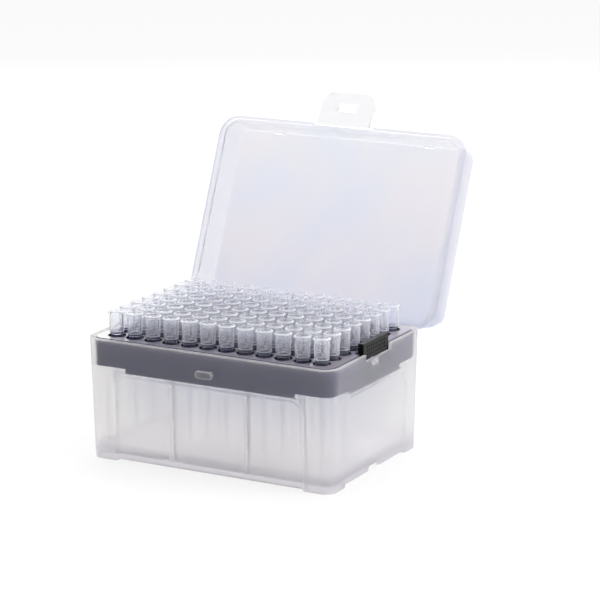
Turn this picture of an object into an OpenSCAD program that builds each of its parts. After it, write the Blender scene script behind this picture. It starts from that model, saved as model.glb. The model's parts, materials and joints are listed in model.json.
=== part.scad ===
// Box of pipette tips: a hinged box that holds a rack of 96 tips, 12 columns of 8.
// The origin is on the table, under the middle of the base. +X is the end with the
// rack's release tab, -Y is the latch side and +Y is the hinge side.
// The lid stands open and leans back on its stops.

/* [Tip array] */
// Distance of the outermost tip centres from the ends of the rim
end_margin = 10.25; // [9:0.05:12]
// Distance of the outermost tip centres from the long sides of the rim
side_margin = 10.35; // [9:0.05:12]

/* [Base box] */
// Length of the base along X, at the rim
box_length = 119.5; // [119:0.5:135]
// Width of the base along Y, at the rim
box_width = 83.7; // [83:0.1:95]
// Height from the feet to the rim
base_h = 53; // [51:0.5:70]
// Thickness of the end walls
end_wall = 1.4; // [1.2:0.1:2]
// Thickness of the long walls
side_wall = 2; // [1.5:0.1:2.4]
// Thickness of the floor
floor_t = 1.5; // [1:0.1:2.5]
// Height of the floor's underside above the feet
floor_lift = 2.8; // [1.5:0.1:4]
// Outside radius of the upright corners, at the rim
corner_r = 7; // [5:0.1:8]
// How far each wall leans in between the rim and the feet
wall_lean = 1.44; // [0.5:0.01:2.5]
// Width of the raised post at each side of a panel
post_w = 13.85; // [12:0.05:16]
// Depth of the recessed panels
panel_depth = 1; // [0.5:0.1:1.2]
// Width of a panel's sloping border
panel_border = 1.5; // [0.8:0.1:2.5]
// Radius of a panel's upper corners
panel_r = 6.7; // [4:0.1:9]
// From the rim to the top of a panel
panel_drop = 14.2; // [13:0.1:18]
// Height of the gap below the panels, between the feet
foot_h = 0.7; // [0.4:0.1:1.5]
// Width of the finger notch below an end panel
notch_w = 10; // [6:0.5:16]
// Height of the finger notch
notch_h = 1.9; // [1:0.1:2.5]
// Thickness of an inner rib
rib_t = 0.9; // [0.6:0.1:1.5]
// How far a rib stands in from the panel
rib_depth = 3; // [2:0.1:3.5]

/* [Rack] */
// Gap between the deck and the box's rim
rack_gap = 0.35; // [0.2:0.05:0.6]
// Thickness of the deck
deck_t = 2.8; // [2.5:0.1:4]
// Width of the slope around the deck's upper edge
deck_edge = 0.8; // [0.3:0.1:1]
// Diameter of the well around each tip
well_d = 8; // [7.6:0.1:8.4]
// Depth of a well
well_depth = 1.5; // [1:0.1:2]
// Diameter of the hole that a tip hangs in
hole_d = 5.4; // [5.3:0.1:5.6]
// Depth of the skirt below the deck's top
skirt_depth = 14; // [13:0.1:20]
// How much shorter the skirt is around its corners
skirt_step = 2; // [1:0.1:4]
// Length of the shorter stretch, from the corner
skirt_step_w = 17; // [12:0.5:20]
// Thickness of the skirt
skirt_t = 1.3; // [1.2:0.1:1.8]
// How far the skirt stands in from the deck's edge
skirt_inset = 0.4; // [0.3:0.05:0.8]
// Thickness of the ribs below the deck
deck_rib_t = 1.2; // [0.8:0.1:2]
// Height of the ribs below the deck
deck_rib_h = 6; // [3:0.5:9]
// Width of the slits beside the release tab
slit_w = 2.2; // [1:0.1:3]
// Height of the slits
slit_h = 4; // [2:0.5:8]

/* [Release tab] */
// Width of the tab
tab_w = 22.6; // [18:0.1:26]
// Height of the tab's top above the deck
tab_rise = 4.4; // [3:0.1:6]
// How far the finger pad hangs below the deck's top
pad_drop = 2.6; // [2:0.1:2.8]
// Radius of the pad's lower corners
pad_r = 3; // [1:0.1:3]
// Thickness of the head, from its inner to its outer face
head_t = 2.6; // [2:0.1:2.8]
// Thickness of the tongue
tongue_t = 1.2; // [1:0.1:1.3]
// Depth of the tongue's root below the deck's top
root_drop = 11.3; // [10:0.1:11.5]
// Width of the tongue's window
window_w = 7.4; // [6:0.1:10]
// Height of the tongue's window
window_h = 4.5; // [3.5:0.1:5]
// Depth of the window's top below the deck's top
window_drop = 3; // [2.8:0.1:3.4]
// Distance that the box's catch reaches into the window
catch_bite = 0.45; // [0.2:0.05:0.6]
// Diameter of a grip dimple on the pad
dimple_d = 0.9; // [0.5:0.05:1.2]
// Depth of a grip dimple
dimple_depth = 0.5; // [0.2:0.05:0.7]
// Distance between dimples along a row
dimple_pitch = 1.96; // [1.5:0.01:2.05]
// Distance between the rows of dimples
dimple_row_pitch = 1.6; // [1.4:0.05:1.8]
// Gap between the tab's pad and the inside of the end wall
head_gap = 0.05; // [0.03:0.01:0.15]

/* [Tips] */
// Length of a tip
tip_len = 50; // [40:0.5:54]
// Height of a tip's mouth above the deck
tip_rise = 10.86; // [8:0.1:11.5]
// Outer diameter of the rim at the mouth
tip_rim_d = 7.4; // [7.2:0.1:8]
// Height of the rim at the mouth
tip_rim_h = 1; // [0.6:0.1:2]
// Outer diameter just below the rim
tip_top_d = 6.5; // [6.3:0.1:6.8]
// Outer diameter at the shoulder
tip_body_d = 6.2; // [6:0.1:6.8]
// Height of the shoulder above the well's floor
tip_shoulder_h = 2.7; // [2:0.1:4]
// Outer diameter just below the well's floor
tip_neck_d = 5; // [4.6:0.1:5.1]
// Outer diameter at the fine end
tip_end_d = 1.2; // [1:0.1:1.6]
// Wall thickness of the upper body
tip_wall = 0.9; // [0.6:0.1:1.1]
// Wall thickness of the neck
tip_neck_wall = 0.7; // [0.5:0.1:1]
// Where the taper below the neck changes, as a share of the way down
tip_knee = 0.45; // [0.3:0.05:0.6]
// Bore diameter at the fine end
tip_bore_d = 0.6; // [0.4:0.05:0.8]

/* [Lid] */
// Height of the lid's top above the rim when it is shut
lid_h = 14; // [13.6:0.1:24]
// Thickness of the lid's top
lid_top_t = 1.1; // [0.8:0.1:1.6]
// Thickness of the lid's wall
lid_wall = 1.15; // [0.8:0.05:1.3]
// How far the lid's wall leans in towards the top
lid_lean = 0.4; // [0:0.05:0.5]
// Gap between the shut lid's skirt and the box
lid_gap = 0.35; // [0.3:0.05:0.5]
// Gap between the shut lid's seat and the rim
seat_gap = 0.1; // [0.1:0.05:0.3]
// Thickness of the skirt at the ends
lid_skirt_end = 1.8; // [1.2:0.1:2.4]
// Thickness of the skirt at the latch side
lid_skirt_front = 1.3; // [1:0.1:1.6]
// Thickness of the skirt at the hinge side
lid_skirt_back = 1; // [0.8:0.1:1.1]
// How far the skirt laps down over the box
lid_lap = 0.6; // [0.4:0.1:0.7]
// Height of the flange's top above the rim
flange_rise = 1; // [0.8:0.1:1.6]
// How far the lid's wall stands in from the flange's edge
flange_w = 2; // [1.7:0.05:2.4]
// Outside radius of the lid's upright corners
lid_r = 6.9; // [5:0.1:8]
// Width of the recess that the latch hangs in
latch_bay_w = 30.6; // [28:0.2:40]
// Depth of that recess
latch_bay_depth = 1; // [0.8:0.1:1.1]
// Distance of the stacking lugs from the middle of the lid
lug_x = 38; // [25:0.5:45]
// Width of a stacking lug
lug_w = 4.4; // [3:0.1:8]
// Height of a stacking lug
lug_h = 2; // [1:0.1:3]
// How far a stacking lug stands in from the wall
lug_t = 0.6; // [0.4:0.1:1]

/* [Hinge] */
// How far the lid stands open
open_angle = 113.4; // [95:0.1:125]
// Distance of a hinge's middle from the end of the rim
hinge_end = 13.75; // [13.25:0.25:39]
// Distance of the hinge axis from the outside of the back wall, at the rim
hinge_out = 2.45; // [2.45:0.01:2.6]
// Depth of the hinge axis below the rim
hinge_drop = 2.9; // [2.9:0.05:3.4]
// Diameter of the hinge pins
pin_d = 2.4; // [1.8:0.1:2.4]
// Gap between a pin and its hole, on each side
pin_gap = 0.15; // [0.1:0.05:0.2]
// Outer radius of a bracket around its hole
cheek_r = 2.2; // [2:0.05:2.2]
// Thickness of a bracket
cheek_t = 1.8; // [1.2:0.1:2.4]
// Width of the lid's knuckle
knuckle_w = 8; // [5:0.5:9]
// Radius of the lid's knuckle
knuckle_r = 2.1; // [1.7:0.05:2.15]
// Gap between a knuckle and the brackets beside it
hinge_gap = 0.3; // [0.2:0.05:0.5]
// Height of a knuckle's stop, below the hinge axis
stop_h = 1.7; // [1.2:0.1:1.9]
// Gap between a knuckle's stop and the wall when the lid is open
stop_gap = 0.08; // [0.05:0.01:0.2]

/* [Latch] */
// Width of the latch flap
latch_w = 26.2; // [22:0.2:27]
// Length of the latch flap, from its hinge
latch_len = 15.7; // [13:0.1:18]
// Thickness of the latch flap
latch_t = 1.2; // [1:0.1:1.4]
// Radius of the flap's outer corners
latch_r = 5.7; // [3:0.1:6]
// How far the open flap leans away from the lid's mouth
latch_tilt = 11; // [0:1:20]
// Distance of the latch's hinge from the edge of its recess
latch_out = 0.8; // [0.8:0.05:1]
// Depth of the latch's hinge below the rim when the lid is shut
latch_drop = 0.4; // [0.3:0.05:0.6]
// Width of the nub on the box
nub_w = 8; // [5:0.1:10]
// Height of the nub
nub_h = 3; // [2:0.1:4]
// Depth of the nub's middle below the rim
nub_drop = 8.6; // [7.5:0.1:9]
// Clearance around the nub in the latch's slot
nub_gap = 0.55; // [0.4:0.05:0.8]
// How far the nub stays behind the outer face of the shut flap
nub_shy = 0.1; // [0.05:0.05:0.2]
// Radius of the round finger pads on the flap
latch_pad_r = 2.8; // [2:0.1:3.2]
// Distance of the finger pads from the middle of the flap
latch_pad_x = 8.6; // [8.4:0.1:9]
// How far the finger pads stand proud
latch_pad_t = 0.3; // [0.2:0.05:0.5]

/* [Hidden] */
$fn = 64;
// Cuts and joined solids run past a face by this much
over = 1;
columns = 12;
rows = 8;
dimple_columns = 9;
dimple_rows = 3;

// Half sizes of the rim, outside and inside
rim_hx = box_length / 2;
rim_hy = box_width / 2;
in_hx = rim_hx - end_wall;
in_hy = rim_hy - side_wall;
in_r = corner_r - end_wall;
slope = wall_lean / base_h;
lean_angle = atan(slope);
ledge_z = base_h - skirt_depth;
panel_hx = rim_hx - post_w;
panel_hy = rim_hy - post_w;
// The tips share out the length and the width that the margins leave
column_pitch = (box_length - 2 * end_margin) / (columns - 1);
row_pitch = (box_width - 2 * side_margin) / (rows - 1);
// The inner ribs stand between two columns of tips
rib_x = 2 * column_pitch;
// Each wall: turn about Z, distance out at the rim, its panel's half width, its thickness
walls = [[0, rim_hy, panel_hx, side_wall], [180, rim_hy, panel_hx, side_wall],
    [90, rim_hx, panel_hy, end_wall], [270, rim_hx, panel_hy, end_wall]];

// Half sizes of the deck and of the skirt's outside
deck_hx = in_hx - rack_gap;
deck_hy = in_hy - rack_gap;
deck_r = in_r - rack_gap;
skirt_hx = deck_hx - skirt_inset;
skirt_hy = deck_hy - skirt_inset;
skirt_r = deck_r - skirt_inset;

// The tab tilts inwards about its root; its head clears the shut lid's wall
tab_gap = 0.3;
tab_angle = 6;
root_r = tongue_t / 2;
root_x = skirt_hx - tongue_t / 2;
root_z = base_h - root_drop;
head_x1 = in_hx - head_gap;
head_x0 = head_x1 - head_t;
bay_x = head_x0 - root_drop * sin(tab_angle) - tab_gap;
catch_x = skirt_hx - catch_bite;

// Heights of a tip's parts, from the well's floor
well_z = base_h - well_depth;
tip_top = tip_rise + well_depth;
tip_bottom = tip_top - tip_len;

// Lid sizes, in the shut position
skirt_in_hx = rim_hx + lid_gap;
skirt_in_hy = rim_hy + lid_gap;
flange_hx = skirt_in_hx + lid_skirt_end;
flange_front = skirt_in_hy + lid_skirt_front;
flange_back = skirt_in_hy + lid_skirt_back;
flange_hy = (flange_front + flange_back) / 2;
lid_shift = (flange_back - flange_front) / 2;
flange_r = corner_r + lid_gap + lid_skirt_end;
mouth_z = base_h - lid_lap;
seat_z = base_h + seat_gap;
flange_z = base_h + flange_rise;
lid_z = base_h + lid_h;

// Hinge and latch axes, with the lid shut
hinge_x = rim_hx - hinge_end;
hinge_y = rim_hy + hinge_out;
hinge_z = base_h - hinge_drop;
stop_reach = hinge_y - rim_hy + slope * hinge_drop - stop_gap;
latch_y = -(flange_front - latch_bay_depth + latch_out);
latch_z = base_h - latch_drop;
slot_mid = nub_drop - latch_drop;
nub_reach = -latch_y + latch_t / 2 - nub_shy;

// A block whose upright corners are round and whose sides lean in by lean to its bottom
module leaning_block(hx, hy, r, lean, h) {
    for (sx = [-1, 1], sy = [-1, 1])
        translate([sx * (hx - r), sy * (hy - r), 0])
            cylinder(h = h, r1 = r - lean, r2 = r);
    rotate([90, 0, 0])
        linear_extrude(2 * (hy - r), center = true)
            polygon([[lean - hx, 0], [hx - lean, 0], [hx, h], [-hx, h]]);
    rotate([90, 0, 90])
        linear_extrude(2 * (hx - r), center = true)
            polygon([[lean - hy, 0], [hy - lean, 0], [hy, h], [-hy, h]]);
}

// A stretch of the box's leaning form from z0 to z1; the half sizes hold at the rim
module box_form(hx, hy, r, z0, z1) {
    grow = slope * (z1 - base_h);
    translate([0, 0, z0])
        leaning_block(hx + grow, hy + grow, r + grow, slope * (z1 - z0), z1 - z0);
}

// The cutter of one panel, in the wall that faces -Y
module panel_cut(out, half_w) {
    ratio = panel_border / panel_depth;
    grow = ratio * over;
    half_h = (base_h - panel_drop) / 2 + panel_r + panel_border;
    translate([0, -out, base_h])
        rotate([lean_angle + 90, 0, 0])
            translate([0, -panel_drop - half_h, -panel_depth])
                leaning_block(half_w + grow, half_h + grow, panel_r + grow,
                    ratio * (panel_depth + over), panel_depth + over);
}

// The inner face of a panel: it fills the wall's inside up to the rack's ledge
module panel_back(out, half_w, wall) {
    face = out - wall - panel_depth;
    rotate([90, 0, 90])
        linear_extrude(2 * half_w, center = true)
            polygon([[slope * skirt_depth - face, ledge_z], [-out, ledge_z],
                [-out, -2 * over], [slope * (base_h + 2 * over) - face, -2 * over]]);
}

module box_inside() {
    difference() {
        box_form(in_hx, in_hy, in_r, -over, base_h + over);
        for (w = walls)
            rotate([0, 0, w[0]]) panel_back(w[1], w[2], w[3]);
        translate([-rim_hx, -rim_hy, floor_lift])
            cube([2 * rim_hx, 2 * rim_hy, floor_t]);
    }
}

module finger_notch() {
    rise = foot_h + notch_h;
    ease = notch_h / 2;
    rotate([90, 0, 90])
        linear_extrude(2 * (rim_hx + over), center = true)
            polygon([[-notch_w / 2, -over], [notch_w / 2, -over], [notch_w / 2, rise - ease],
                [notch_w / 2 - ease, rise], [ease - notch_w / 2, rise], [-notch_w / 2, rise - ease]]);
}

module foot_gaps() {
    gap_hx = panel_hx - panel_border / 2;
    gap_hy = panel_hy - panel_border / 2;
    translate([-gap_hx, -rim_hy - over, -over]) cube([2 * gap_hx, 2 * (rim_hy + over), foot_h + over]);
    translate([-rim_hx - over, -gap_hy, -over]) cube([2 * (rim_hx + over), 2 * gap_hy, foot_h + over]);
}

module tab_notch() {
    translate([bay_x, -tab_w / 2 - tab_gap, base_h - pad_drop - tab_gap])
        cube([rim_hx + over - bay_x, tab_w + 2 * tab_gap, pad_drop + tab_gap + over]);
}

// Upright ribs inside the long walls, up to the ledge
module box_ribs() {
    reach = side_wall + panel_depth + rib_depth;
    for (s = [0, 180], x = [-rib_x, rib_x])
        rotate([0, 0, s])
            translate([x - rib_t / 2, slope * base_h - rim_hy + side_wall / 2, floor_lift])
                cube([rib_t, reach - slope * base_h - side_wall / 2, ledge_z - floor_lift]);
}

// The nub that the latch hooks over
module latch_nub() {
    side = 0.8;
    translate([0, 0, base_h - nub_drop])
        rotate([90, 0, 0])
            translate([0, 0, rim_hy - side_wall])
                linear_extrude(nub_reach - rim_hy + side_wall)
                    polygon([[-nub_w / 2, 0], [side - nub_w / 2, nub_h / 2], [nub_w / 2 - side, nub_h / 2],
                        [nub_w / 2, 0], [nub_w / 2 - side, -nub_h / 2], [side - nub_w / 2, -nub_h / 2]]);
}

// The catch inside the end wall that reaches into the tongue's window
module rack_catch() {
    play = 0.5;
    top = base_h - window_drop - play;
    bottom = base_h - window_drop - window_h + play;
    width = window_w - 2 * play;
    rotate([90, 0, 0])
        linear_extrude(width, center = true)
            polygon([[in_hx + end_wall / 2, top], [catch_x + 2 * catch_bite, top],
                [catch_x, (top + bottom) / 2], [catch_x, bottom], [in_hx + end_wall / 2, bottom]]);
}

// Two brackets for each knuckle of the lid
module hinge_brackets() {
    step = (knuckle_w + cheek_t) / 2 + hinge_gap;
    foot = rim_hy - side_wall / 2;
    for (s = [-1, 1], t = [-1, 1])
        translate([s * hinge_x + t * step, 0, 0]) {
            translate([0, hinge_y, hinge_z])
                rotate([0, 90, 0]) cylinder(h = cheek_t, r = cheek_r, center = true);
            translate([-cheek_t / 2, foot, hinge_z - cheek_r])
                cube([cheek_t, hinge_y - foot, 1.5 * cheek_r]);
        }
}

module pin_holes() {
    length = knuckle_w + 2 * (hinge_gap + cheek_t + over);
    for (s = [-1, 1])
        translate([s * hinge_x, hinge_y, hinge_z])
            rotate([0, 90, 0]) cylinder(h = length, d = pin_d + 2 * pin_gap, center = true);
}

module base_box() {
    color("gainsboro")
        difference() {
            union() {
                difference() {
                    box_form(rim_hx, rim_hy, corner_r, 0, base_h);
                    box_inside();
                    for (w = walls)
                        rotate([0, 0, w[0]]) panel_cut(w[1], w[2]);
                    foot_gaps();
                    finger_notch();
                    tab_notch();
                }
                box_ribs();
                latch_nub();
                rack_catch();
                hinge_brackets();
            }
            pin_holes();
        }
}

module at_tips(column) {
    for (row = [0 : rows - 1])
        translate([(column - (columns - 1) / 2) * column_pitch, (row - (rows - 1) / 2) * row_pitch, well_z])
            children();
}

// The deck is open under the tab's head, with slanted ends
module tab_bay() {
    half = tab_w / 2 + tab_gap;
    slant = 3;
    translate([0, 0, base_h - deck_t - over])
        linear_extrude(deck_t + 2 * over)
            polygon([[bay_x, -half], [rim_hx, -half - slant], [rim_hx, half + slant], [bay_x, half]]);
}

module skirt_cuts() {
    half = tab_w / 2 + 2 * tab_gap;
    bottom = base_h - skirt_depth;
    for (sx = [-1, 1], sy = [-1, 1])
        translate([sx * skirt_hx, sy * skirt_hy, bottom])
            cube([2 * skirt_step_w, 2 * skirt_step_w, 2 * skirt_step], center = true);
    translate([skirt_hx - 2 * skirt_t, -half, root_z - root_r - tab_gap])
        cube([3 * skirt_t, 2 * half, base_h - deck_t - root_z + root_r + tab_gap + over]);
    for (s = [-1, 1])
        translate([skirt_hx - 2 * skirt_t, s * (half + 2 * slit_w) - slit_w / 2, bottom - over])
            cube([3 * skirt_t, slit_w, slit_h + over]);
}

module deck_ribs() {
    for (row = [-1, 0, 1])
        translate([-bay_x, 2 * row * row_pitch - deck_rib_t / 2, base_h - deck_t - deck_rib_h])
            cube([2 * bay_x, deck_rib_t, deck_rib_h + deck_t / 2]);
}

// The deck's plate, whose upper edge slopes at 45 degrees
module deck_plate() {
    grow = deck_t + over - deck_edge;
    intersection() {
        translate([0, 0, base_h - deck_t]) leaning_block(deck_hx, deck_hy, deck_r, 0, deck_t);
        translate([0, 0, base_h + over])
            rotate([180, 0, 0])
                leaning_block(deck_hx + grow, deck_hy + grow, deck_r + grow,
                    deck_t + 2 * over, deck_t + 2 * over);
    }
}

module rack() {
    color("#17151c")
        difference() {
            union() {
                deck_plate();
                difference() {
                    translate([0, 0, ledge_z])
                        leaning_block(skirt_hx, skirt_hy, skirt_r, 0, skirt_depth - deck_t / 2);
                    translate([0, 0, ledge_z - over])
                        leaning_block(skirt_hx - skirt_t, skirt_hy - skirt_t, skirt_r - skirt_t, 0,
                            skirt_depth - deck_t + over);
                }
                deck_ribs();
            }
            for (column = [0 : columns - 1])
                at_tips(column) {
                    cylinder(h = well_depth + over, d = well_d);
                    translate([0, 0, -deck_t]) cylinder(h = deck_t + over, d = hole_d);
                }
            tab_bay();
            skirt_cuts();
        }
}

// The outline of the finger pad, with round lower corners
module pad_outline(h) {
    translate([-tab_w / 2, pad_r]) square([tab_w, h - pad_r]);
    translate([pad_r - tab_w / 2, 0]) square([tab_w - 2 * pad_r, h]);
    for (s = [-1, 1])
        translate([s * (tab_w / 2 - pad_r), pad_r]) circle(pad_r);
}

module dimples() {
    middle = base_h + (tab_rise - pad_drop) / 2;
    for (i = [0 : dimple_columns - 1], j = [0 : dimple_rows - 1])
        translate([head_x1 - dimple_depth, (i - (dimple_columns - 1) / 2) * dimple_pitch,
            middle + (j - (dimple_rows - 1) / 2) * dimple_row_pitch])
            rotate([0, 90, 0]) cylinder(h = dimple_depth + over, d = dimple_d);
}

module rack_release_tab() {
    tongue_h = root_drop + tab_gap + over;
    color("#17151c")
        difference() {
            union() {
                translate([root_x, 0, root_z])
                    rotate([90, 0, 0]) cylinder(h = tab_w, r = root_r, center = true);
                translate([root_x - tongue_t / 2, -tab_w / 2, root_z]) cube([tongue_t, tab_w, tongue_h]);
                translate([head_x0, -tab_w / 2, base_h + tab_gap])
                    cube([head_t, tab_w, tab_rise - tab_gap]);
                translate([root_x, 0, base_h - pad_drop])
                    rotate([90, 0, 90]) linear_extrude(head_x1 - root_x) pad_outline(tab_rise + pad_drop);
            }
            translate([root_x - tongue_t, -window_w / 2, base_h - window_drop - window_h])
                cube([tongue_t + head_t, window_w, window_h]);
            dimples();
        }
}

// Half of a tip's section, from its fine end up the outside and back down the bore
module tip_section() {
    neck_bore = tip_neck_d / 2 - tip_neck_wall;
    knee_z = tip_knee * tip_bottom;
    ease = 0.35;
    polygon([[tip_bore_d / 2, tip_bottom], [tip_end_d / 2, tip_bottom],
        [tip_neck_d / 4 + tip_end_d / 8, knee_z], [tip_neck_d / 2, -ease], [tip_neck_d / 2, 0],
        [tip_body_d / 2 - ease, 0], [tip_body_d / 2 - ease, tip_shoulder_h - ease],
        [tip_body_d / 2, tip_shoulder_h], [tip_top_d / 2, tip_top - tip_rim_h - ease],
        [tip_rim_d / 2, tip_top - tip_rim_h], [tip_rim_d / 2, tip_top - ease],
        [tip_rim_d / 2 - ease, tip_top], [tip_rim_d / 2 - tip_wall, tip_top],
        [tip_rim_d / 2 - tip_wall - ease, tip_top - tip_rim_h],
        [tip_body_d / 2 - tip_wall, tip_shoulder_h], [neck_bore, -ease],
        [neck_bore / 2, knee_z]]);
}

module tips_column(column) {
    color("lavender")
        at_tips(column)
            rotate_extrude() tip_section();
}

// Turns a shut lid, or what belongs to it, to where it stands open
module opened() {
    translate([0, hinge_y, hinge_z])
        rotate([-open_angle, 0, 0])
            translate([0, -hinge_y, -hinge_z])
                children();
}

module lid_shell() {
    wall_hx = flange_hx - flange_w;
    wall_hy = flange_hy - flange_w;
    wall_h = lid_z - mouth_z;
    lid_slope = lid_lean / wall_h;
    inner_h = wall_h - lid_top_t + over;
    difference() {
        translate([0, lid_shift, 0]) {
            translate([0, 0, mouth_z]) leaning_block(flange_hx, flange_hy, flange_r, 0, flange_z - mouth_z);
            translate([0, 0, lid_z])
                mirror([0, 0, 1]) leaning_block(wall_hx, wall_hy, lid_r, lid_lean, wall_h);
        }
        translate([0, 0, mouth_z - over])
            leaning_block(skirt_in_hx, skirt_in_hy, corner_r + lid_gap, 0, lid_lap + seat_gap + over);
        translate([0, lid_shift, lid_z - lid_top_t])
            mirror([0, 0, 1])
                leaning_block(wall_hx - lid_wall + lid_slope * over, wall_hy - lid_wall + lid_slope * over,
                    lid_r - lid_wall, lid_slope * inner_h, inner_h);
    }
}

// The flange steps back where the latch hangs, and the skirt is left out there
module latch_bay() {
    edge = flange_front - latch_bay_depth;
    translate([-latch_bay_w / 2, -flange_front - over, mouth_z - over])
        cube([latch_bay_w, flange_front + over - edge, flange_z - mouth_z + 2 * over]);
    translate([-latch_bay_w / 2, -flange_front - over, mouth_z - over])
        cube([latch_bay_w, flange_front + over - skirt_in_hy + lid_gap / 2, lid_lap + seat_gap + over]);
}

module stacking_lugs() {
    wall_y = flange_front - flange_w - lid_wall;
    for (s = [-1, 1])
        translate([s * lug_x - lug_w / 2, -wall_y - lid_wall / 2, lid_z - lid_top_t - lug_h])
            cube([lug_w, lug_t + lid_lean + lid_wall / 2, lug_h + lid_top_t / 2]);
}

// A knuckle's outline, seen along the hinge: the web rises to the flange, and the
// stop is square to the back wall when the lid is open
module knuckle_outline() {
    web = 0.9 * knuckle_r;
    translate([hinge_y, hinge_z]) {
        circle(knuckle_r);
        rotate(open_angle) translate([-stop_reach, -stop_h]) square([stop_reach, stop_h]);
    }
    polygon([[hinge_y - web, hinge_z], [hinge_y + web, hinge_z],
        [flange_back, flange_z], [skirt_in_hy, flange_z], [skirt_in_hy, mouth_z]]);
}

// A knuckle with its pin
module lid_knuckle() {
    pin_l = knuckle_w + 2 * (hinge_gap + cheek_t);
    rotate([90, 0, 90]) linear_extrude(knuckle_w, center = true) knuckle_outline();
    translate([0, hinge_y, hinge_z])
        rotate([0, 90, 0]) cylinder(h = pin_l, d = pin_d, center = true);
}

module lid() {
    color("#e4e4f0", 0.5)
        opened() {
            difference() {
                lid_shell();
                latch_bay();
            }
            stacking_lugs();
            for (s = [-1, 1])
                translate([s * hinge_x, 0, 0]) lid_knuckle();
        }
}

module flap_outline() {
    translate([-latch_w / 2, 0]) square([latch_w, latch_len - latch_r]);
    translate([latch_r - latch_w / 2, 0]) square([latch_w - 2 * latch_r, latch_len]);
    for (s = [-1, 1])
        translate([s * (latch_w / 2 - latch_r), latch_len - latch_r]) circle(latch_r);
}

// The flap, lying outwards from its hinge, with its slot and two finger pads
module flap() {
    slot_w = nub_w + 2 * nub_gap;
    slot_h = nub_h + 2 * nub_gap;
    rotate([0, 0, 180])
        translate([0, 0, -latch_t / 2]) {
            difference() {
                linear_extrude(latch_t) flap_outline();
                translate([-slot_w / 2, slot_mid - slot_h / 2, -over])
                    cube([slot_w, slot_h, latch_t + 2 * over]);
            }
            for (s = [-1, 1])
                translate([s * latch_pad_x, slot_mid, 0])
                    cylinder(h = latch_t + latch_pad_t, r = latch_pad_r);
        }
    rotate([0, 90, 0]) cylinder(h = latch_w, d = latch_t, center = true);
}

module lid_latch() {
    color("#e4e4f0", 0.5)
        opened()
            translate([0, latch_y, latch_z])
                rotate([-latch_tilt, 0, 0])
                    flap();
}

base_box();
rack();
rack_release_tab();
lid();
lid_latch();
tips_column(0);  // tips_column_01
tips_column(1);  // tips_column_02
tips_column(2);  // tips_column_03
tips_column(3);  // tips_column_04
tips_column(4);  // tips_column_05
tips_column(5);  // tips_column_06
tips_column(6);  // tips_column_07
tips_column(7);  // tips_column_08
tips_column(8);  // tips_column_09
tips_column(9);  // tips_column_10
tips_column(10);  // tips_column_11
tips_column(11);  // tips_column_12
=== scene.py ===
# %% [markdown]
# # A box of pipette tips
# A lab box in four plastics: a frosted base, a black rack, clear tips and a clear
# lid. The construction comes packed from the CAD side and isn't touched here. This
# file gives each moulding its finish, and sets up a plain bright studio around it.
#
# All of it is polypropylene. What sets the mouldings apart is the surface of the
# mould and what is in the plastic. An etched mould gives frost, carbon black makes
# it opaque, and a clarifier makes it nearly clear. So this is mostly a lesson in
# how light goes through plastic.

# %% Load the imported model
import json
import math

import bpy
from mathutils import Matrix, Vector


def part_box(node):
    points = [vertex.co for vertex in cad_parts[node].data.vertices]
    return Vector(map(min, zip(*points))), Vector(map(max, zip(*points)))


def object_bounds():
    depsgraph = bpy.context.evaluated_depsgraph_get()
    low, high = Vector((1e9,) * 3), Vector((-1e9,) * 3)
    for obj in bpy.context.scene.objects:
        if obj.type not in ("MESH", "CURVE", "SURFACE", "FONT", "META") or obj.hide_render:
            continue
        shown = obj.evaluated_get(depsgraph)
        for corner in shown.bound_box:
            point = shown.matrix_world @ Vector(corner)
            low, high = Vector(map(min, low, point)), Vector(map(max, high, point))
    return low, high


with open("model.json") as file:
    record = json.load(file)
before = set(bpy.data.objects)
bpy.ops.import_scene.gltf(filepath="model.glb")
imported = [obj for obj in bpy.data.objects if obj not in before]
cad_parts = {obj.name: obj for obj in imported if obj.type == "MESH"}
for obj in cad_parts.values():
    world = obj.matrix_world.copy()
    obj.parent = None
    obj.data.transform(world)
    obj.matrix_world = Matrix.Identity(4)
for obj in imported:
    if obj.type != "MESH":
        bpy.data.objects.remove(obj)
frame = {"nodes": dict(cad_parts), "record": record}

MM = 0.001
cad_low, cad_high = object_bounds()

# %% [markdown]
# ## Colours and nodes
# Blender mixes light in linear numbers, while a colour card or a paint chart is in
# sRGB. One function turns a hex colour into linear. Another adds a shader node
# with its settings and links in one line, so that a material reads like a recipe.
# The short ones after it give a name to each kind of node that keeps coming back.

# %% Helpers for colours and nodes
def linear(hex_colour, alpha=1.0):
    """The linear RGBA of an sRGB hex colour such as '#c8c8d0'."""
    out = []
    for i in (1, 3, 5):
        c = int(hex_colour[i:i + 2], 16) / 255
        out.append(c / 12.92 if c <= 0.04045 else ((c + 0.055) / 1.055) ** 2.4)
    return (*out, alpha)


def add(tree, kind, inputs=None, **settings):
    """Adds a node. inputs holds a number, a colour or another node's output per socket."""
    made = tree.nodes.new("ShaderNode" + kind)
    for name, value in settings.items():
        setattr(made, name, value)
    for socket, value in (inputs or {}).items():
        if isinstance(value, bpy.types.NodeSocket):
            tree.links.new(value, made.inputs[socket])
        else:
            made.inputs[socket].default_value = value
    return made


def new_material(name):
    """An empty node material, its tree and its output node."""
    material = bpy.data.materials.new(name)
    material.use_nodes = True
    material.node_tree.nodes.clear()
    return material, material.node_tree, add(material.node_tree, "OutputMaterial")


def where(tree):
    """The place on the part in metres: whole, then as separate X, Y and Z."""
    place = add(tree, "TexCoord").outputs["Object"]
    apart = add(tree, "SeparateXYZ", {"Vector": place}).outputs
    return place, apart["X"], apart["Y"], apart["Z"]


def noise(tree, place, size, detail):
    """Soft noise between 0 and 1, with features of about this size on the real part."""
    grain = {"Vector": place, "Scale": 1 / size, "Detail": detail}
    return add(tree, "TexNoise", grain).outputs["Fac"]


def calculate(tree, operation, *values):
    """What a Math node makes of one to three numbers or outputs."""
    return add(tree, "Math", dict(enumerate(values)), operation=operation).outputs[0]


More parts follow.
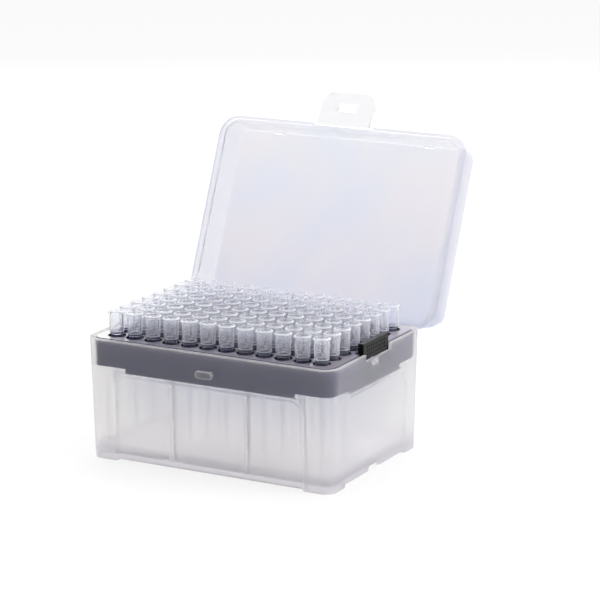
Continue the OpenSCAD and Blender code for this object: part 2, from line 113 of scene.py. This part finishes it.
def ramp(tree, value, start, end, at_start=0.0, at_end=1.0):
    """A number that goes from at_start to at_end while value goes from start to end."""
    return add(tree, "MapRange", {"Value": value, "From Min": start, "From Max": end,
                                  "To Min": at_start, "To Max": at_end}).outputs["Result"]


def blend(tree, share, first, second):
    """A colour between two; share is how much of the second."""
    return add(tree, "MixRGB", {"Fac": share, "Color1": first, "Color2": second}).outputs[0]


def mix(tree, share, first, second):
    """Two shaders in one; share is how much of the second."""
    return add(tree, "MixShader", {0: share, 1: first, 2: second}).outputs[0]


def relief(tree, height, strength, depth, **over):
    """A surface direction, tilted by a faint relief of this depth."""
    return add(tree, "Bump", {"Height": height, "Strength": strength, "Distance": depth,
                              **over}).outputs["Normal"]


print("example: #c8c8d0 is", [round(c, 3) for c in linear("#c8c8d0")], "in linear light")

# %% [markdown]
# ## Frosted polypropylene
# The base is injection moulded in natural polypropylene, in a mould whose faces
# were etched to a fine grain. The plastic is milky: it scatters part of the light
# at once, and lets the rest through blurred. So what lies against the wall, such
# as the black rack, shows nearly sharp, and the tips further in turn to soft
# streaks. Scattering in a volume would show this too, but it is slow and grainy.
# Rough glass mixed with a little translucent and matt white gives the same look
# for far less work.
#
# Light crosses four surfaces on its way through the box, so each share of milk
# counts four times. That is why they are so small. A low index of refraction
# keeps the edges from going dark, and a rough coat on top brings back the sheen.
#
# Some places differ. The rim and the feet end in an edge. At the rim the milk is raised as a
# painted glow for the light that the edge gathers, and at the feet it is raised a little towards
# the floor. The latch's nub stands proud of the wall, and its milk is raised as a painted
# highlight for the light that it catches. The inner ribs let a part of the light straight
# through, so they show as thin lines.

# %% Frosted polypropylene
RIM_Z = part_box("rack")[1][2]    # the deck's top, level with the box's rim
GRAIN = 0.35 * MM               # the etched grain
CLOUD = 40 * MM                 # how far the milkiness drifts before it changes
SOFT_EDGE = 0.8 * MM            # edges catch light over this radius
RIB_X, RIB_HALF = 18 * MM, 0.9 * MM
NUB_FOOT_Y, NUB_FACE_Y = -42.1 * MM, -42.6 * MM
FOOT_Z = 6 * MM

MILK_LOW, MILK_HIGH = 0.06, 0.09
# The rim's extra milk is a painted glow, and the nub's is a painted highlight; the feet's is milk
# alone.
RIM_PAINTED_GLOW, FOOT_MILK, NUB_PAINTED_HIGHLIGHT = 0.6, 0.15, 0.35
MATT = 0.035                    # thrown straight back, slightly blue
RIB_CLEAR = 0.25


def milk_share(tree, cloud, y, z):
    """The share of light that a wall scatters on its way through, raised a little at the feet,
    and raised at the rim as a painted glow and on the nub as a painted highlight.
    """
    rim = ramp(tree, z, RIM_Z - 0.5 * MM, RIM_Z, 0.0, RIM_PAINTED_GLOW)
    milk = ramp(tree, cloud, 0.0, 1.0, MILK_LOW, MILK_HIGH)
    foot = ramp(tree, z, 0.0, FOOT_Z, FOOT_MILK, 0.0)
    nub = ramp(tree, y, NUB_FOOT_Y, NUB_FACE_Y, 0.0, NUB_PAINTED_HIGHLIGHT)
    foot_milk_and_nub_highlight = calculate(tree, "ADD", foot, nub)
    ends = calculate(tree, "ADD", rim, foot_milk_and_nub_highlight)
    return calculate(tree, "ADD", milk, ends)


def rib_share(tree, x, z):
    """The share of light that goes straight through the ribs, below the rack's skirt."""
    on_rib = calculate(tree, "COMPARE", calculate(tree, "ABSOLUTE", x), RIB_X, RIB_HALF)
    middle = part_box("rack")[0][2] / 2
    below = calculate(tree, "COMPARE", z, middle, middle - 3 * MM)
    return calculate(tree, "MULTIPLY", calculate(tree, "MULTIPLY", on_rib, below), RIB_CLEAR)


def frosted_polypropylene():
    # The etched grain blurs what is seen through the wall, and gives a wide faint shine.
    material, tree, out = new_material("frosted moulded polypropylene")
    place, x, y, z = where(tree)
    cloud = noise(tree, place, CLOUD, 2.0)
    grain = noise(tree, place, GRAIN, 1.0)
    soft = add(tree, "Bevel", {"Radius": SOFT_EDGE}, samples=4).outputs["Normal"]
    # Painted shade: below 8 mm the base colour turns darker and a little lavender, for the shadow
    # under the box.
    foot = ramp(tree, z, 4 * MM, 8 * MM)
    skin = add(tree, "BsdfPrincipled", {
        "Base Color": blend(tree, foot, linear("#dedbdf"), linear("#fffefc")),
        "Roughness": ramp(tree, cloud, 0.0, 1.0, 0.28, 0.3), "IOR": 1.25,
        "Transmission Weight": 1.0, "Coat Weight": 0.6, "Coat Roughness": 0.3,
        "Normal": relief(tree, grain, 0.08, 0.05 * MM, Normal=soft)}).outputs["BSDF"]
    through = add(tree, "BsdfTranslucent", {"Color": linear("#fffdf9")}).outputs[0]
    back = add(tree, "BsdfDiffuse", {"Color": linear("#c6caf6")}).outputs[0]
    milky = mix(tree, milk_share(tree, cloud, y, z), skin, through)
    body = mix(tree, MATT, milky, back)
    straight = add(tree, "BsdfTransparent").outputs[0]
    whole = mix(tree, rib_share(tree, x, z), body, straight)
    tree.links.new(whole, out.inputs["Surface"])
    return material


frosted = frosted_polypropylene()
print(frosted.name, "of", len(frosted.node_tree.nodes), "nodes")

# %% [markdown]
# ## Black polypropylene
# The rack is moulded in carbon-black polypropylene, against polished steel. The
# body colour is close to black with a little blue, so nearly all that the eye sees
# is the reflection on top. A clear coat makes the deck turn pale at a low angle,
# and a faint warm sheen stands in for the bloom such mouldings can get. The skirt
# below the deck has no coat, because the frosted wall in front hides its gloss.
#
# The release tab is part of the same shot of plastic, but it comes from a blasted
# part of the mould. Its face is duller and stays dark, so it has a finish of its own.

# %% Black polypropylene
FLOW = 12 * MM                  # slow change of gloss, as the plastic flowed
GRIT = 0.4 * MM


def black_polypropylene(name, colour, rough, ripple, ior, coat, bloom):
    # Dark inside, so the shine on top draws the form.
    material, tree, out = new_material(name)
    place, _, _, z = where(tree)
    flow = noise(tree, place, FLOW, 3.0)
    grit = noise(tree, place, GRIT, 1.0)
    gloss = ramp(tree, z, RIM_Z - 2.5 * MM, RIM_Z - 1.5 * MM, 0.0, coat) if coat else 0.0
    shade = add(tree, "BsdfPrincipled", {
        "Base Color": linear(colour), "Roughness": ramp(tree, flow, 0.0, 1.0, *rough), "IOR": ior,
        "Coat Weight": gloss, "Coat Roughness": 0.28, "Sheen Weight": bloom,
        "Sheen Roughness": 0.4, "Sheen Tint": linear("#ffdcb8"),
        "Normal": relief(tree, grit, ripple, 0.05 * MM)})
    tree.links.new(shade.outputs["BSDF"], out.inputs["Surface"])
    return material


deck_black = black_polypropylene("black polished polypropylene", "#18173c", rough=(0.28, 0.33),
                                 ripple=0.03, ior=1.35, coat=1.0, bloom=0.25)
tab_black = black_polypropylene("black blasted polypropylene", "#0e0e10", rough=(0.3, 0.36),
                                ripple=0.1, ior=1.25, coat=0.0, bloom=0.0)
print("rack:", deck_black.name, "| tab:", tab_black.name)

# %% [markdown]
# ## Clear polypropylene
# The lid and the tips are clarified polypropylene: nearly as clear as glass, with
# a faint haze that turns blue-violet in thicker places. Seen edge on, the light
# has further to go through the wall, so the haze builds up and outlines the form
# in white. A layer weight raises the share of haze with the slant of the surface.

# %% A hazy clear shader
def clear_body(tree, tint, ior, roughness, normal, haze, edge_haze, haze_colour):
    """Clear plastic, with a share of milky haze that grows as the surface turns edge on."""
    skin = add(tree, "BsdfPrincipled", {
        "Base Color": tint, "Roughness": roughness, "IOR": ior,
        "Transmission Weight": 1.0, "Normal": normal}).outputs["BSDF"]
    back = add(tree, "BsdfDiffuse", {"Color": haze_colour}).outputs[0]
    through = add(tree, "BsdfTranslucent", {"Color": haze_colour}).outputs[0]
    slant = add(tree, "LayerWeight", {"Blend": 0.5}).outputs["Facing"]
    share = ramp(tree, calculate(tree, "POWER", slant, 2.5), 0.0, 1.0, haze, edge_haze)
    return mix(tree, share, skin, mix(tree, 0.5, back, through))


print("the share of haze follows the slant to the power 2.5, so only steep edges turn white")

# %% [markdown]
# ## The lid and its latch
# The lid is a thin tray from one shot of clear plastic. Its panel has a faint blush
# of blue and warm patches, where the plastic cooled at its own pace. Its tint is also
# painted paler towards the top, painted light on the lid as it stands open, and paler
# on the end walls, painted light for walls that lean towards the light. The latch is a
# thin flap and shows almost no tint. Both get the same recipe with their own four
# tints: two for the upper patches and two for the lower ones, and the step from the
# lower pair to the upper pair is painted light.

# %% Lid and latch
BLUSH = 32 * MM
LID_TINTS_AND_PAINTED_LIGHT = ("#edeff8", "#f3f1f5", "#d6d9ea", "#e0dce6")
LATCH_TINTS_AND_PAINTED_LIGHT = ("#f9f9fb", "#f9f8fa", "#f6f6fa", "#f7f6f9")


def lid_polypropylene(name, tints):
    # A satin mould: shapes show through blurred, and the colour drifts across the panel.
    material, tree, out = new_material(name)
    place, x, _, z = where(tree)
    low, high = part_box("lid")
    blush = noise(tree, place, BLUSH, 2.0)
    patch = ramp(tree, blush, 0.35, 0.65)
    # Painted light: the upper pair is paler than the lower pair, and the end walls turn paler
    # still.
    upper = blend(tree, patch, linear(tints[0]), linear(tints[1]))
    lower = blend(tree, patch, linear(tints[2]), linear(tints[3]))
    panel = blend(tree, ramp(tree, z, low[2], high[2]), lower, upper)
    painted_lit_end_wall = ramp(tree, calculate(tree, "ABSOLUTE", x), high[0] - 5 * MM, high[0] - 3 * MM)
    tint = blend(tree, painted_lit_end_wall, panel, linear("#eeeff7"))
    rough = ramp(tree, blush, 0.0, 1.0, 0.28, 0.31)
    waves = relief(tree, blush, 0.03, 0.5 * MM)
    body = clear_body(tree, tint, 1.3, rough, waves, 0.04, 0.35, linear("#ffffff"))
    tree.links.new(body, out.inputs["Surface"])
    return material


lid_clear = lid_polypropylene("clear moulded lid polypropylene", LID_TINTS_AND_PAINTED_LIGHT)
latch_clear = lid_polypropylene("clear moulded latch polypropylene", LATCH_TINTS_AND_PAINTED_LIGHT)
print("lid:", lid_clear.name, "| latch:", latch_clear.name)

# %% [markdown]
# ## The tips
# Tips come from polished moulds with many cavities, so they are the clearest
# pieces here. Three things draw a tip. Its mouth has a small flange whose haze is
# raised, a painted glow for the light that its cut edge gathers, so each tip ends in
# a thin white ring. A step above the deck shows as a fainter ring. The foot of the
# tip sits in a black well: its lowest stretch has no haze, and its tint is painted
# darker there, as painted shade for the well.
#
# The ring needs the distance to the tip's own axis. The tips stand 9 mm apart, so
# wrapping the place into cells of 9 mm puts one axis in the middle of each cell.
# One material then serves all 96 tips.

# %% Tips
PITCH = 9 * MM
FOOT_TOP_Z = RIM_Z + 1.7 * MM   # above this the shaft is free of the well
SHAFT_Z = RIM_Z + 2.0 * MM
STEP_Z = RIM_Z + 2.05 * MM
MOUTH_INNER, MOUTH_OUTER = 2.95 * MM, 3.05 * MM
MOUTH_RING_PAINTED_GLOW, STEP_HAZE = 0.7, 0.4


def distance_to_axis(tree, place):
    """How far a place is from the axis of the tip it belongs to."""
    cell = add(tree, "VectorMath", {0: place, 1: (PITCH, PITCH, 1.0), 2: (0.0, 0.0, -1.0)},
               operation="WRAP").outputs[0]
    flat = add(tree, "VectorMath", {0: cell, 1: (1.0, 1.0, 0.0)}, operation="MULTIPLY").outputs[0]
    return add(tree, "VectorMath", {0: flat, 1: (PITCH / 2, PITCH / 2, 0.0)},
               operation="DISTANCE").outputs["Value"]


def tip_polypropylene():
    # A polished surface: what lies behind shows bent but sharp, as in thin glass.
    material, tree, out = new_material("clear moulded tip polypropylene")
    place, _, _, z = where(tree)
    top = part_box("tips_column_01")[1][2]
    flow = noise(tree, place, 5 * MM, 2.0)
    shaft_haze = ramp(tree, z, FOOT_TOP_Z, SHAFT_Z, 0.03, 0.09)
    # Painted highlight: the haze on the flange at the mouth is raised, for the light its cut edge
    # gathers.
    mouth = ramp(tree, z, top - 0.5 * MM, top - 0.3 * MM, 0.0, MOUTH_RING_PAINTED_GLOW)
    flange = ramp(tree, distance_to_axis(tree, place), MOUTH_INNER, MOUTH_OUTER)
    ring = calculate(tree, "MULTIPLY", mouth, flange)
    step = calculate(tree, "COMPARE", z, STEP_Z, 0.15 * MM)
    rings = calculate(tree, "MULTIPLY_ADD", step, STEP_HAZE, ring)
    haze = calculate(tree, "ADD", shaft_haze, rings)
    edge_haze = ramp(tree, z, FOOT_TOP_Z, SHAFT_Z, 0.2, 0.6)
    # Painted shade: within 1.9 mm of the deck the tint turns darker grey-blue, for the black well
    # the foot sits in.
    foot = calculate(tree, "COMPARE", z, RIM_Z, 1.9 * MM)
    tint = blend(tree, foot, linear("#fafbff"), linear("#c6c8d6"))
    rough = ramp(tree, flow, 0.0, 1.0, 0.03, 0.06)
    waves = relief(tree, flow, 0.03, 0.2 * MM)
    body = clear_body(tree, tint, 1.25, rough, waves, haze, edge_haze, linear("#fbfbff"))
    tree.links.new(body, out.inputs["Surface"])
    return material


tip_clear = tip_polypropylene()
print(tip_clear.name, "of", len(tip_clear.node_tree.nodes), "nodes")

# %% [markdown]
# ## Dress the pieces
# Each piece of the CAD names a material slot. The finish goes by that slot, except
# for the two pieces that share a plastic with a neighbour but not its surface.

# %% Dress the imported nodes
FINISHES = {"frosted_box": frosted, "black_rack": deck_black, "clear_lid": lid_clear,
            "clear_tips": tip_clear}
OWN_FINISHES = {"rack_release_tab": tab_black, "lid_latch": latch_clear}
for subpart in frame["record"]["subparts"]:
    dressed = frame["nodes"][subpart["node"]]
    finish = OWN_FINISHES.get(subpart["node"], FINISHES[subpart["material_slot"]])
    dressed.data.materials.clear()
    dressed.data.materials.append(finish)
    print(subpart["node"], "->", finish.name)

# %% [markdown]
# ## The studio
# A product like this is shot on a white sweep. The floor is a plain pale sheet
# that runs far back. It shows itself near white to the eye, to mirrors and to clear
# plastic, but it still takes the box's shadow.

# %% White for what the eye sees, plain light for the rest
SWEEP = 12                      # metres, so that its edge is never seen
GLOW_TO_EYE = 0.8               # the rest of what the eye gets is the lit paper


def seen_directly(tree):
    """1 on rays that show a thing as it is: from the eye, a reflection or through plastic."""
    path = add(tree, "LightPath").outputs
    either = calculate(tree, "MAXIMUM", path["Is Camera Ray"], path["Is Glossy Ray"])
    return calculate(tree, "MAXIMUM", either, path["Is Transmission Ray"])


def white_floor():
    # Matt paper for light that bounces, and a plain white glow for what is looked at.
    material, tree, out = new_material("white paper sweep")
    matt = add(tree, "BsdfDiffuse", {"Color": linear("#f2f2f2")}).outputs[0]
    glow = add(tree, "Emission", {"Color": (1, 1, 1, 1), "Strength": 1.0}).outputs[0]
    keep = ramp(tree, add(tree, "LightPath").outputs["Is Camera Ray"], 0.0, 1.0, 1.0, GLOW_TO_EYE)
    share = calculate(tree, "MULTIPLY", seen_directly(tree), keep)
    tree.links.new(mix(tree, share, matt, glow), out.inputs["Surface"])
    return material


bpy.ops.mesh.primitive_plane_add(size=SWEEP)
floor = bpy.context.object
floor.name = "floor"
floor.location.z = cad_low[2]
floor.data.materials.append(white_floor())
print("floor at", round(floor.location.z / MM, 3), "mm,", SWEEP, "m wide")

# %% [markdown]
# ## Enough bounces
# Light crosses a row of clear tips through dozens of surfaces. Cycles stops a ray
# after a dozen by default, which would turn the rows black, so it gets more.

# %% Enough bounces for many layers of plastic
limits = bpy.context.scene.cycles
limits.max_bounces = limits.transmission_bounces = limits.transparent_max_bounces = 40
limits.diffuse_bounces = limits.glossy_bounces = 10
print("bounces:", limits.max_bounces, "in all,", limits.diffuse_bounces, "diffuse")

# %% [markdown]
# ## The room
# The background is white to the eye and through clear plastic. As a source of
# light it fades from full strength behind the box to much less in front, like a
# real set whose walls are lit from the back. That shades the front of the box.
# Reflections get a brighter front, or the black plastic would lose its shine.

# %% The room: bright above and behind, dimmer in front
FRONT_LIGHT, FRONT_REFLECTION = 0.35, 0.7

world = bpy.data.worlds.new("studio room")
bpy.context.scene.world = world
world.use_nodes = True
sky = world.node_tree
sky.nodes.clear()
direction = add(sky, "SeparateXYZ", {"Vector": add(sky, "TexCoord").outputs["Generated"]})
path = add(sky, "LightPath").outputs
front = ramp(sky, path["Is Glossy Ray"], 0.0, 1.0, FRONT_LIGHT, FRONT_REFLECTION)
depth = ramp(sky, direction.outputs["Y"], -1.0, 0.3, front, 1.0)
room = add(sky, "Background", {"Color": (1, 1, 1, 1), "Strength": depth}).outputs[0]
white = add(sky, "Background", {"Color": (1, 1, 1, 1), "Strength": 1.0}).outputs[0]
shown = calculate(sky, "MAXIMUM", path["Is Camera Ray"], path["Is Transmission Ray"])
add(sky, "OutputWorld", {"Surface": mix(sky, shown, room, white)})
print("world:", world.name, "with", len(sky.nodes), "nodes")

# %% [markdown]
# ## Lamps
# Three large soft boxes. The one above lights the deck and the rims of the tips.
# The one on the right is the strongest and lights the end of the box, so that the
# corner reads. The one behind shines through the frosted walls and the lid, which
# is what makes a translucent part look translucent.

# %% Lamps
def soft_lamp(name, size, watts, place, aim):
    """A rectangular soft box of this size in metres, turned towards aim."""
    lamp = bpy.data.lights.new(name, "AREA")
    lamp.shape = "RECTANGLE"
    lamp.size, lamp.size_y = size
    lamp.energy = watts
    holder = bpy.data.objects.new(name, lamp)
    bpy.context.scene.collection.objects.link(holder)
    holder.location = place
    holder.rotation_euler = (Vector(aim) - Vector(place)).to_track_quat("-Z", "Y").to_euler()
    print(name, "of", watts, "W")


BOX_MIDDLE = (0.0, 0.02, 0.06)
soft_lamp("top softbox", (0.9, 0.7), 3.5, (-0.15, 0.2, 0.95), BOX_MIDDLE)
soft_lamp("right softbox", (0.5, 0.7), 8.0, (0.9, 0.2, 0.45), BOX_MIDDLE)
soft_lamp("back softbox", (0.8, 0.5), 3.5, (-0.45, 0.75, 0.5), BOX_MIDDLE)

# %% [markdown]
# ## The camera
# A long lens from well back keeps the box's edges close to parallel, as in a
# catalogue. It stands to the right of the front, a little above the box. The view
# transform is Standard, so that white paper comes out as plain white.

# %% Camera
camera_data = bpy.data.cameras.new("camera")
camera_data.lens = 158.63
camera_data.sensor_width = 36
camera_data.clip_end = 20
camera = bpy.data.objects.new("camera", camera_data)
bpy.context.scene.collection.objects.link(camera)
eye = Vector((0.5424, -0.9509, 0.3397))
target = Vector((0.0222, 0.0, 0.0697))
roll = math.radians(-0.23)
turn = (target - eye).to_track_quat("-Z", "Y").to_matrix() @ Matrix.Rotation(roll, 3, "Z")
camera.matrix_world = Matrix.Translation(eye) @ turn.to_4x4()
bpy.context.scene.camera = camera
bpy.context.scene.view_settings.view_transform = "Standard"
print("camera", round((target - eye).length, 3), "m from the box, lens", camera_data.lens, "mm")
